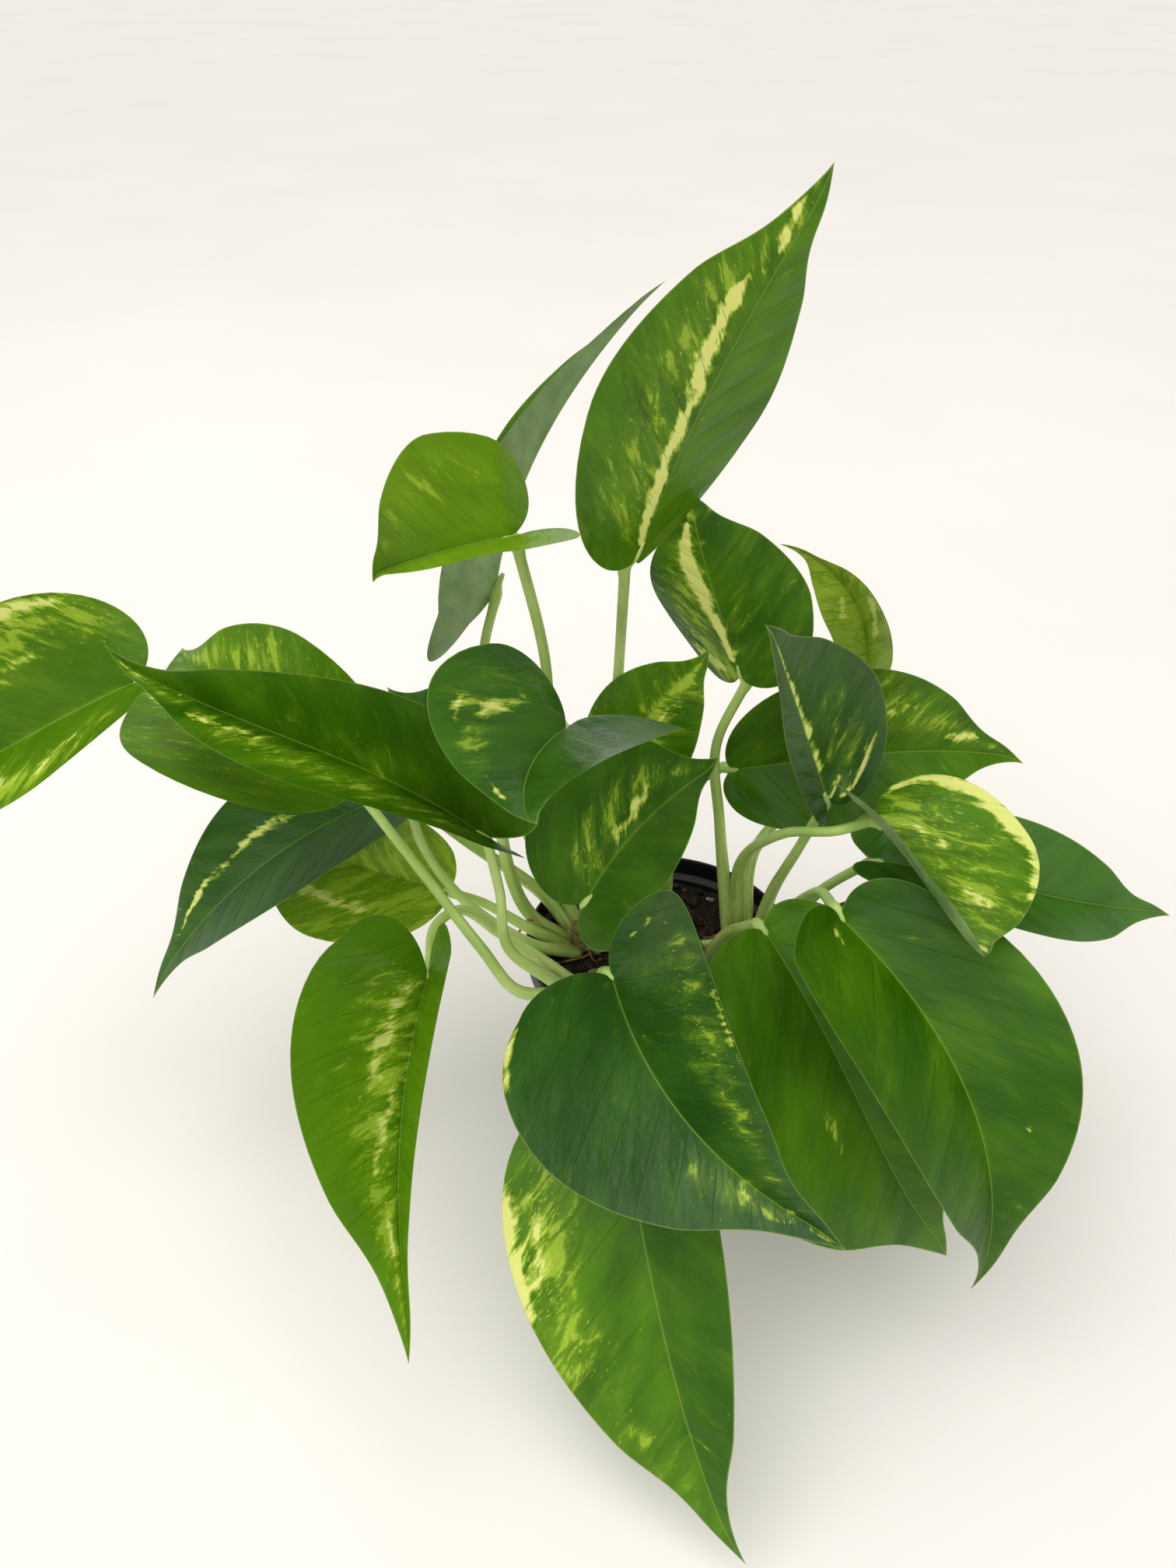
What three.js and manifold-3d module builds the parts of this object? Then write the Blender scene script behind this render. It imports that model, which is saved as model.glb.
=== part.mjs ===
// A pothos (Epipremnum aureum) with 24 leaves in a black nursery pot.
// Millimetres, +Z up. The origin is the centre of the pot's flat underside, so the plant stands on z = 0.
// Plant heights are measured from the pot's rim, so the plant moves with the pot.
import * as THREE from "three";
import { ParametricGeometry } from "three/addons/geometries/ParametricGeometry.js";
import { mergeGeometries, mergeVertices } from "three/addons/utils/BufferGeometryUtils.js";
import Module from "manifold-3d";

const wasm = await Module();
wasm.setup();

// ---- pot ----
const POT_HEIGHT = 92;
const RIM_RADIUS = 52.5; // outside of the rim band
const BASE_RADIUS = 37;
const POT_WALL = 1.5;
const RIM_BAND = 9; // height of the wider band under the rim
const RIM_STEP = 2; // how far the band stands out from the wall below it
const POT_SIDES = 40;
const DRAIN_HOLES = 6;
const DRAIN_DIAMETER = 9;
const DRAIN_RING_RADIUS = 26;
const DRAIN_SIDES = 16;

// ---- soil ----
const SOIL_DEPTH_BELOW_RIM = 12;
const SOIL_CLEARANCE = 0.4; // between the soil and the pot

// ---- plant ----
const STEM_DIAMETER = 8;
const STEM_HEIGHT = 12; // above the soil
const PETIOLE_DIAMETER = 4;
const FEET_APART = (37 * Math.PI) / 180; // the least turn round a stem from one petiole's foot to the next
const JOINT_CLEARANCE = 0.5; // petiole to stem, stem to soil, petiole to blade
const BLADE_THICKNESS = 0.9;
const BLADE_SETBACK = 4; // from the end of a petiole to the blade that it carries, along the midrib
const RIM_PASS = 3; // height of a petiole's lower side over the rim that it crosses

// A blade's margin, as shares of its length (from the petiole to the tip).
const SHOULDER = 0.62; // how far the full width carries towards the tip
const TIP_TAPER = 0.84; // where the margin turns into the drawn-out tip
const TIP_WIDTH = 0.16; // of that turn, as a share of the half width
const LOBE_HOOK = 1.3; // how sharply a lobe turns back at the petiole
const SINUS_OPENING = 0.12; // of the notch between the lobes, as a share of the half width
const VEIN_SWEEP = 0.16; // a lateral vein starts this far behind the margin point that it runs to
const LOBE_SHARE = 0.4; // share of a blade's rows that run to its lobes

const BLADE_ROWS = 12;
const BLADE_COLUMNS = 6;
const STEM_SIDES = 8;
const PETIOLE_SIDES = 6;
const PETIOLE_STEPS = 12;
const WELD = 1e-3; // vertices closer than this are one

const SOIL_TOP = POT_HEIGHT - SOIL_DEPTH_BELOW_RIM;
// The petioles' feet stand in a ring round their stem, clear of the stem and of each other.
const FOOT_RING = Math.max(
  STEM_DIAMETER / 2 + PETIOLE_DIAMETER / 2 + 2 * JOINT_CLEARANCE,
  (PETIOLE_DIAMETER + JOINT_CLEARANCE) / (2 * Math.sin(FEET_APART / 2)),
);

// Every place on the plant is a compass bearing about the pot's axis, from +X towards +Y, a distance out from the
// rim's edge (negative is inside it), and a height above the rim. The plant keeps to a pot of another size.

// Short vine stems in the soil, and the lean of their tops in x and y.
const STEMS = {
  back: { bearing: 94, out: -21, leanX: -1, leanY: 1 },
  left: { bearing: 165, out: -21, leanX: -1, leanY: 0 },
  centre: { bearing: 130, out: -21, leanX: -1, leanY: 1 },
  front: { bearing: 219, out: -19, leanX: 1, leanY: 1 },
  middle: { bearing: 351, out: -40, leanX: 1, leanY: -1 },
  right: { bearing: 13, out: -17, leanX: -1, leanY: -1 },
};

// tone: the green of the upper face. at: where the blade joins its petiole. heading: bearing of the tip from there.
// pitch: the tip's rise. roll: turn about the midrib. fold: rise of each half from flat. left, right: half widths,
// seen from above with the tip ahead. arch: the midrib's bow out of the face. curl: extra rise of the margins.
// twist: extra roll at the tip. sway: the midrib's bow to the right. lobe: how far the lobes reach back behind the
// petiole and widest: where the blade is widest, as shares of the length.
// The petiole leaves its stem at the angle, crosses the rim at the compass angle over, where it has one, passes
// the via points and ends under the blade.
const LEAVES = [
  { name: "crown", tone: "mid", at: [166, -40, 160], length: 128, heading: -4, pitch: 66, roll: 147,
    fold: -6, left: 42, right: 30, arch: -3, curl: 1, twist: -35, sway: -2, lobe: 0.04, widest: 0.37,
    stem: "back", angle: 140, via: [[117, -10, 50], [117, -15, 95]] },
  { name: "back_tall", tone: "mid", at: [138, 33, 124], length: 133, heading: -23, pitch: 61, roll: 31,
    fold: 38, left: 15, right: 34, arch: 11, curl: 2, twist: -7, sway: 3, lobe: 0.31, widest: 0.23,
    stem: "left", angle: 165, over: 172, via: [[171, 6, 22], [163, 13, 52], [143, 33, 95]] },
  { name: "upper_left", tone: "light", at: [178, 0, 169], length: 62, heading: -128, pitch: 8, roll: -28,
    fold: 40, left: 30, right: 33, arch: -6, curl: 2, twist: 2, sway: 6, lobe: 0.27, widest: 0.33,
    stem: "centre", angle: 140, via: [[147, -3, 58], [165, -8, 119]] },
  { name: "upper_right", tone: "mid", at: [29, -24, 111], length: 68, heading: 146, pitch: 70, roll: -109,
    fold: -9, left: 32, right: 36, arch: -2, curl: 0, twist: 34, sway: -3, lobe: 0.1, widest: 0.37,
    stem: "right", angle: 150, via: [[41, -22, 41], [43, -26, 78]] },
  { name: "young_curled", tone: "light", at: [37, 50, 86], length: 73, heading: -162, pitch: 55, roll: 215,
    fold: 32, left: 13, right: 18, arch: -4, curl: 1, twist: 28, sway: 9, lobe: 0.08, widest: 0.37,
    stem: "right", angle: 76, via: [[36, -5, 20], [40, 23, 34]] },
  { name: "behind_centre", tone: "mid", at: [124, -24, 71], length: 55, heading: -3, pitch: 54, roll: 67,
    fold: 13, left: 19, right: 24, arch: -1, curl: 2, twist: -4, sway: -2, lobe: 0.16, widest: 0.28,
    stem: "back", angle: 210, via: [[119, -24, 30]] },
  { name: "right_upright", tone: "dark", at: [357, 6, 68], length: 90, heading: -149, pitch: 67, roll: -85,
    fold: 6, left: 12, right: 32, arch: -4, curl: 3, twist: 8, sway: 3, lobe: 0.11, widest: 0.28,
    stem: "right", angle: 38, via: [[15, -6, 14], [4, -1, 42]] },
  { name: "right_drooping", tone: "mid", at: [345, 23, 72], length: 79, heading: -77, pitch: 4, roll: -13,
    fold: 30, left: 40, right: 24, arch: -3, curl: 1, twist: -33, sway: -6, lobe: 0.23, widest: 0.28,
    stem: "right", angle: 113, via: [[24, -18, 26], [355, -9, 54], [341, 10, 68]] },
  { name: "right_back", tone: "mid", at: [46, -12, 60], length: 114, heading: 4, pitch: 0, roll: 78,
    fold: 17, left: 39, right: 26, arch: 9, curl: 3, twist: -14, sway: -7, lobe: 0.06, widest: 0.32,
    stem: "back", angle: 20, via: [[77, -18, 44]] },
  { name: "centre", tone: "mid", at: [207, -20, 31], length: 83, heading: -12, pitch: 56, roll: 57,
    fold: 5, left: 43, right: 25, arch: -4, curl: 1, twist: -20, sway: -7, lobe: 0.2, widest: 0.32,
    stem: "left", angle: -30, via: [[186, -25, 8]] },
  { name: "centre_left", tone: "dark", at: [207, -13, 109], length: 62, heading: -99, pitch: 5, roll: -21,
    fold: 23, left: 41, right: 41, arch: -2, curl: 3, twist: 35, sway: 7, lobe: 0.27, widest: 0.21,
    stem: "centre", angle: 240, via: [[138, -9, 54], [150, -9, 84]] },
  { name: "left_long", tone: "mid", at: [199, 17, 69], length: 140, heading: 171, pitch: 26, roll: -21,
    fold: 48, left: 31, right: 29, arch: 17, curl: 4, twist: -35, sway: -3, lobe: 0.16, widest: 0.28,
    stem: "front", angle: 195, over: 214, via: [[206, 11, 20], [203, 12, 44]] },
  { name: "left_wide", tone: "light", at: [183, 60, 79], length: 95, heading: 141, pitch: 12, roll: -22,
    fold: 33, left: 50, right: 33, arch: 15, curl: 4, twist: -4, sway: -6, lobe: 0.12, widest: 0.35,
    stem: "front", angle: 240, over: 226, via: [[217, 14, 10], [209, 23, 28], [196, 36, 50]] },
  { name: "far_left", tone: "light", at: [170, 147, 96], length: 110, heading: -159, pitch: -19, roll: -24,
    fold: 34, left: 36, right: 44, arch: 7, curl: 3, twist: -35, sway: -4, lobe: 0.14, widest: 0.33,
    stem: "left", angle: 125, over: 156, via: [[160, 28, 26], [163, 84, 66]] },
  { name: "left_dark", tone: "dark", at: [171, 50, 58], length: 121, heading: -157, pitch: -33, roll: -4,
    fold: 13, left: 30, right: 33, arch: 12, curl: 1, twist: -10, sway: 3, lobe: 0.12, widest: 0.32,
    stem: "left", angle: 245, over: 190, via: [[180, 22, 18], [174, 39, 38]] },
  { name: "left_mottled", tone: "light", at: [173, 32, 16], length: 92, heading: 154, pitch: 4, roll: -42,
    fold: 26, left: 35, right: 28, arch: 10, curl: 3, twist: -4, sway: -4, lobe: 0.06, widest: 0.35,
    stem: "left", angle: 205, over: 180, via: [[175, 17, 13]] },
  { name: "left_hanging", tone: "mid", at: [207, 43, 20], length: 129, heading: -87, pitch: -17, roll: 5,
    fold: 52, left: 21, right: 44, arch: 18, curl: 3, twist: 11, sway: 2, lobe: 0.17, widest: 0.22,
    stem: "front", angle: 150, over: 198, via: [[192, 11, 15], [192, 24, 28], [197, 35, 28]] },
  { name: "front_large", tone: "dark", at: [254, 20, 45], length: 111, heading: -53, pitch: -10, roll: 31,
    fold: 34, left: 46, right: 46, arch: 12, curl: 2, twist: 20, sway: 10, lobe: 0.1, widest: 0.2,
    stem: "front", angle: 290, via: [[245, 2, 28]] },
  { name: "front_hanging", tone: "mid", at: [260, 52, 20], length: 141, heading: -68, pitch: -46, roll: 32,
    fold: 5, left: 27, right: 45, arch: 10, curl: 2, twist: 23, sway: 0, lobe: 0.09, widest: 0.26,
    stem: "front", angle: 340, over: 285, via: [[260, 25, 13]] },
  { name: "front_right", tone: "mid", at: [317, -4, 32], length: 137, heading: -41, pitch: -48, roll: 22,
    fold: 21, left: 31, right: 56, arch: 27, curl: 2, twist: 20, sway: 7, lobe: 0.08, widest: 0.29,
    stem: "middle", angle: 0, via: [[340, -26, 10]] },
  { name: "right_large", tone: "mid", at: [319, 24, 53], length: 139, heading: -52, pitch: -55, roll: 17,
    fold: 28, left: 39, right: 38, arch: 28, curl: 0, twist: 6, sway: -10, lobe: 0.1, widest: 0.23,
    stem: "right", angle: -45, via: [[358, -5, 13], [340, 6, 40]] },
  { name: "far_right", tone: "dark", at: [356, 28, 43], length: 116, heading: 0, pitch: -12, roll: 17,
    fold: 23, left: 25, right: 27, arch: 11, curl: 3, twist: 21, sway: 8, lobe: 0.15, widest: 0.3,
    stem: "right", angle: 0, over: 5, via: [[3, 10, 22]] },
  { name: "right_low", tone: "dark", at: [349, 11, 7], length: 60, heading: -20, pitch: 4, roll: 14,
    fold: 6, left: 21, right: 22, arch: 4, curl: 1, twist: 0, sway: 0, lobe: 0.15, widest: 0.3,
    stem: "middle", angle: 80, over: -8, via: [] },
  { name: "left_back", tone: "dark", at: [140, 26, 46], length: 60, heading: -177, pitch: 39, roll: -41,
    fold: 10, left: 22, right: 24, arch: 3, curl: 2, twist: 0, sway: 0, lobe: 0.15, widest: 0.3,
    stem: "left", angle: 80, via: [[150, -1, 14], [144, 18, 32]] },
];

const LEAF_TONES = { light: 0x6c9a34, mid: 0x4f7d22, dark: 0x33602d };
const PETIOLE_GREEN = 0x9fb46a;
const STEM_GREEN = 0x8a9a55;
const SOIL_BROWN = 0x2b211b;
const POT_BLACK = 0x161616;

const radians = THREE.MathUtils.degToRad;
const group = new THREE.Group();
group.name = "potted_pothos";

function addPiece(name, geometry, color, roughness) {
  const material = new THREE.MeshStandardMaterial({ color, roughness, metalness: 0 });
  const mesh = new THREE.Mesh(geometry, material);
  mesh.name = name;
  group.add(mesh);
}

// The geometry with shared vertices merged and the collapsed triangles left out.
function closed(geometry) {
  const bare = new THREE.BufferGeometry();
  bare.setAttribute("position", geometry.getAttribute("position"));
  bare.setIndex(geometry.index);
  const merged = mergeVertices(bare, WELD);
  const corners = merged.index.array;
  const kept = [];
  for (let i = 0; i < corners.length; i += 3) {
    const [a, b, c] = corners.slice(i, i + 3);
    if (a !== b && b !== c && c !== a) kept.push(a, b, c);
  }
  merged.setIndex(kept);
  return merged;
}

function toSolid(geometry) {
  const merged = closed(geometry);
  return new wasm.Manifold(
    new wasm.Mesh({
      numProp: 3,
      vertProperties: merged.attributes.position.array,
      triVerts: new Uint32Array(merged.index.array),
    }),
  );
}

function toGeometry(solid) {
  const mesh = solid.getMesh();
  const geometry = new THREE.BufferGeometry();
  geometry.setAttribute("position", new THREE.BufferAttribute(mesh.vertProperties, 3));
  geometry.setIndex(new THREE.BufferAttribute(mesh.triVerts, 1));
  return geometry;
}

// A turned body about Z from [radius, z] points, outside upwards.
function turned(profile) {
  const lathe = new THREE.LatheGeometry(
    profile.map(([radius, z]) => new THREE.Vector2(radius, z)),
    POT_SIDES,
  );
  return lathe.rotateX(Math.PI / 2);
}

// Outside radius of the pot's tapered wall at a height.
function wallRadius(z) {
  const top = RIM_RADIUS - RIM_STEP;
  return BASE_RADIUS + ((top - BASE_RADIUS) * z) / POT_HEIGHT;
}

function makePot() {
  const bandBottom = POT_HEIGHT - RIM_BAND;
  const profile = [
    [0, 0],
    [BASE_RADIUS, 0],
    [wallRadius(bandBottom), bandBottom],
    [RIM_RADIUS - RIM_STEP / 4, bandBottom],
    [RIM_RADIUS, POT_HEIGHT],
    [RIM_RADIUS - POT_WALL, POT_HEIGHT],
    [RIM_RADIUS - RIM_STEP / 4 - POT_WALL, bandBottom + POT_WALL],
    [wallRadius(bandBottom) - POT_WALL, bandBottom],
    [wallRadius(POT_WALL) - POT_WALL, POT_WALL],
    [0, POT_WALL],
  ];
  let pot = toSolid(turned(profile));
  for (let hole = 0; hole < DRAIN_HOLES; hole += 1) {
    const turn = (hole * 2 * Math.PI) / DRAIN_HOLES;
    const drill = new THREE.CylinderGeometry(
      DRAIN_DIAMETER / 2,
      DRAIN_DIAMETER / 2,
      4 * POT_WALL,
      DRAIN_SIDES,
    );
    drill.rotateX(Math.PI / 2);
    drill.translate(DRAIN_RING_RADIUS * Math.cos(turn), DRAIN_RING_RADIUS * Math.sin(turn), 0);
    pot = pot.subtract(toSolid(drill));
  }
  addPiece("pot", toGeometry(pot), POT_BLACK, 0.45);
}

function makeSoil() {
  const inset = POT_WALL + SOIL_CLEARANCE;
  const bottom = POT_WALL + SOIL_CLEARANCE;
  const bandBottom = POT_HEIGHT - RIM_BAND;
  const side = [[wallRadius(bottom) - inset, bottom]];
  if (SOIL_TOP > bandBottom) side.push([wallRadius(bandBottom) - inset, bandBottom]);
  const topRadius = wallRadius(Math.min(SOIL_TOP, bandBottom)) - inset;
  if (SOIL_TOP !== bandBottom) side.push([topRadius, SOIL_TOP]);
  addPiece("soil", closed(turned([[0, bottom], ...side, [0, SOIL_TOP]])), SOIL_BROWN, 0.95);
}

// A round rod of even thickness along a smooth curve through the points.
function rod(points, diameter, sides, steps) {
  const outline = new THREE.Shape();
  for (let side = 0; side < sides; side += 1) {
    const turn = (side * 2 * Math.PI) / sides;
    const x = (diameter / 2) * Math.cos(turn);
    const y = (diameter / 2) * Math.sin(turn);
    if (side === 0) outline.moveTo(x, y);
    else outline.lineTo(x, y);
  }
  const extrudePath = new THREE.CatmullRomCurve3(points, false, "centripetal");
  return closed(new THREE.ExtrudeGeometry(outline, { extrudePath, steps, bevelEnabled: false }));
}

function stemFoot(stem) {
  return fromRim([stem.bearing, stem.out, JOINT_CLEARANCE - SOIL_DEPTH_BELOW_RIM]);
}

function makeStem(name, stem) {
  const foot = stemFoot(stem);
  const top = foot.clone().add(new THREE.Vector3(stem.leanX, stem.leanY, STEM_HEIGHT));
  const tilt = Math.hypot(stem.leanX, stem.leanY) / STEM_HEIGHT;
  foot.z += (tilt * STEM_DIAMETER) / 2;
  addPiece(`stem_${name}`, rod([foot, top], STEM_DIAMETER, STEM_SIDES, 1), STEM_GREEN, 0.6);
}

// The blade's own directions at a share u of its length: along the midrib, across to its right half, and out of its
// upper face.
function bladeFrame(leaf, u) {
  const heading = radians(leaf.heading);
  const pitch = radians(leaf.pitch);
  const along = new THREE.Vector3(
    Math.cos(pitch) * Math.cos(heading),
    Math.cos(pitch) * Math.sin(heading),
    Math.sin(pitch),
  );
  const up = new THREE.Vector3(0, 0, 1).addScaledVector(along, -along.z).normalize();
  const face = up.applyAxisAngle(along, radians(leaf.roll + leaf.twist * u));
  const across = new THREE.Vector3().crossVectors(along, face);
  return { along, across, face };
}

// A point on half of a blade's margin, as shares of the length and of the half width: row 0 at the petiole, then
// round the lobe to the widest point, and on to the tip at row 1.
function marginPoint(leaf, row) {
  if (row < LOBE_SHARE) {
    const lobeCurve = new THREE.CubicBezierCurve(
      new THREE.Vector2(0, 0),
      new THREE.Vector2(-LOBE_HOOK * leaf.lobe, SINUS_OPENING),
      new THREE.Vector2(-leaf.lobe, 1),
      new THREE.Vector2(leaf.widest, 1),
    );
    return lobeCurve.getPoint(row / LOBE_SHARE);
  }
  const tipCurve = new THREE.CubicBezierCurve(
    new THREE.Vector2(leaf.widest, 1),
    new THREE.Vector2(SHOULDER, 1),
    new THREE.Vector2(TIP_TAPER, TIP_WIDTH),
    new THREE.Vector2(1, 0),
  );
  return tipCurve.getPoint((row - LOBE_SHARE) / (1 - LOBE_SHARE));
}

// Where on the midrib the lateral vein of a row starts.
function midribStart(leaf, row, margin) {
  const sweep = VEIN_SWEEP * Math.min(1, row / LOBE_SHARE);
  return Math.max(margin.x - sweep * margin.y, (leaf.widest - VEIN_SWEEP) * row);
}

// A point of the blade: row 0 at the petiole to 1 at the tip, side -1 at the left margin to 1 at the right,
// level -1 on the underside to 1 on the upper face.
function bladePoint(leaf, origin, row, side, level) {
  const margin = marginPoint(leaf, row);
  const reach = Math.abs(side);
  const u = THREE.MathUtils.lerp(midribStart(leaf, row, margin), margin.x, reach);
  const v = margin.y * reach;
  const w = v * (side < 0 ? leaf.left : leaf.right);
  const fold = radians(leaf.fold);
  const bow = 4 * Math.max(u, 0) * (1 - u);
  const rise = w * Math.sin(fold) + bow * leaf.arch + v * v * leaf.curl;
  const taper = (1 - reach ** 6) * (1 - (2 * row - 1) ** 8);
  const frame = bladeFrame(leaf, u);
  const point = origin.clone();
  point.addScaledVector(frame.along, u * leaf.length);
  point.addScaledVector(frame.across, Math.sign(side) * w * Math.cos(fold) + bow * leaf.sway);
  point.addScaledVector(frame.face, rise + (level * BLADE_THICKNESS * taper) / 2);
  return point;
}

function fromRim([bearing, out, z]) {
  const turn = radians(bearing);
  const radius = RIM_RADIUS + out;
  return new THREE.Vector3(radius * Math.cos(turn), radius * Math.sin(turn), POT_HEIGHT + z);
}

function makeLeaf(leaf) {
  const origin = fromRim(leaf.at);
  const upperFace = new ParametricGeometry(
    (across, row, target) => target.copy(bladePoint(leaf, origin, row, 2 * across - 1, 1)),
    BLADE_COLUMNS,
    BLADE_ROWS,
  );
  // With its two directions swapped, the underside faces down and its triangles lie square under the upper face's.
  const underside = new ParametricGeometry(
    (row, across, target) => target.copy(bladePoint(leaf, origin, row, 2 * across - 1, -1)),
    BLADE_ROWS,
    BLADE_COLUMNS,
  );
  addPiece(`leaf_${leaf.name}`, closed(mergeGeometries([upperFace, underside])), LEAF_TONES[leaf.tone], 0.4);
}

// Where a petiole passes over the rim, at a bearing.
function rimCrossing(bearing) {
  return fromRim([bearing, -POT_WALL, RIM_PASS + PETIOLE_DIAMETER / 2]);
}

function makePetiole(leaf) {
  const foot = stemFoot(STEMS[leaf.stem]);
  const turn = radians(leaf.angle);
  foot.add(new THREE.Vector3(FOOT_RING * Math.cos(turn), FOOT_RING * Math.sin(turn), PETIOLE_DIAMETER / 2));
  const frame = bladeFrame(leaf, 0);
  const end = fromRim(leaf.at);
  end.addScaledVector(frame.face, -(PETIOLE_DIAMETER / 2 + BLADE_THICKNESS / 2 + JOINT_CLEARANCE));
  end.addScaledVector(frame.along, -BLADE_SETBACK);
  const points = [foot];
  if (leaf.over !== undefined) points.push(rimCrossing(leaf.over));
  points.push(...leaf.via.map(fromRim), end);
  addPiece(`petiole_${leaf.name}`, rod(points, PETIOLE_DIAMETER, PETIOLE_SIDES, PETIOLE_STEPS), PETIOLE_GREEN, 0.5);
}

makePot();
makeSoil();
for (const [name, stem] of Object.entries(STEMS)) makeStem(name, stem);
for (const leaf of LEAVES) {
  makeLeaf(leaf);
  makePetiole(leaf);
}

export default group;
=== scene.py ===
import math
import random

import bmesh
import bpy
import numpy as np
from mathutils import Matrix, Vector, noise


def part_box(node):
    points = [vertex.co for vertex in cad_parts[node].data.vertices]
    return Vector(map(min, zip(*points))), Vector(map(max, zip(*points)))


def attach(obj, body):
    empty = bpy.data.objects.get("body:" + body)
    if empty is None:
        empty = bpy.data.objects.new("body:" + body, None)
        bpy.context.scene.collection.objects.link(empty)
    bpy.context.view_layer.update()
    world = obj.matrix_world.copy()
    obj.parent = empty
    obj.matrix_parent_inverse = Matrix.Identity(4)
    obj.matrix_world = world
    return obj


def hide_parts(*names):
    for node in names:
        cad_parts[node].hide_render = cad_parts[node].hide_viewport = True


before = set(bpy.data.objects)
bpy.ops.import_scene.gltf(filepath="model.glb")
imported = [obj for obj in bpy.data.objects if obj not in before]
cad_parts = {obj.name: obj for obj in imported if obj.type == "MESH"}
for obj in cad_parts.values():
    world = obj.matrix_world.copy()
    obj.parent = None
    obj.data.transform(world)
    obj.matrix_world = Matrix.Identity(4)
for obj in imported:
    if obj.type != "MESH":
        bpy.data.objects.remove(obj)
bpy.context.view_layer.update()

MM = 0.001

# The plant as the frame's source has it: bearings in degrees, distances out from the rim's edge, heights above it.
POT_HEIGHT = 92
RIM_RADIUS = 52.5
BASE_RADIUS = 37
POT_WALL = 1.5
RIM_BAND = 9
RIM_STEP = 2
DRAIN_HOLES = 6
DRAIN_DIAMETER = 9
DRAIN_RING_RADIUS = 26
SOIL_DEPTH_BELOW_RIM = 12
SOIL_CLEARANCE = 0.4
STEM_DIAMETER = 8
STEM_HEIGHT = 12
PETIOLE_DIAMETER = 4
JOINT_CLEARANCE = 0.5
BLADE_THICKNESS = 0.9
BLADE_SETBACK = 4
RIM_PASS = 3
SHOULDER = 0.62
TIP_TAPER = 0.84
TIP_WIDTH = 0.16
LOBE_HOOK = 1.3
SINUS_OPENING = 0.12
VEIN_SWEEP = 0.16
LOBE_SHARE = 0.4
SOIL_TOP = POT_HEIGHT - SOIL_DEPTH_BELOW_RIM
FEET_APART = math.radians(37)
FOOT_RING = max(STEM_DIAMETER / 2 + PETIOLE_DIAMETER / 2 + 2 * JOINT_CLEARANCE,
                (PETIOLE_DIAMETER + JOINT_CLEARANCE) / (2 * math.sin(FEET_APART / 2)))

STEMS = {
    "back": dict(bearing=94, out=-21, leanX=-1, leanY=1),
    "left": dict(bearing=165, out=-21, leanX=-1, leanY=0),
    "centre": dict(bearing=130, out=-21, leanX=-1, leanY=1),
    "front": dict(bearing=219, out=-19, leanX=1, leanY=1),
    "middle": dict(bearing=351, out=-40, leanX=1, leanY=-1),
    "right": dict(bearing=13, out=-17, leanX=-1, leanY=-1),
}

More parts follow.
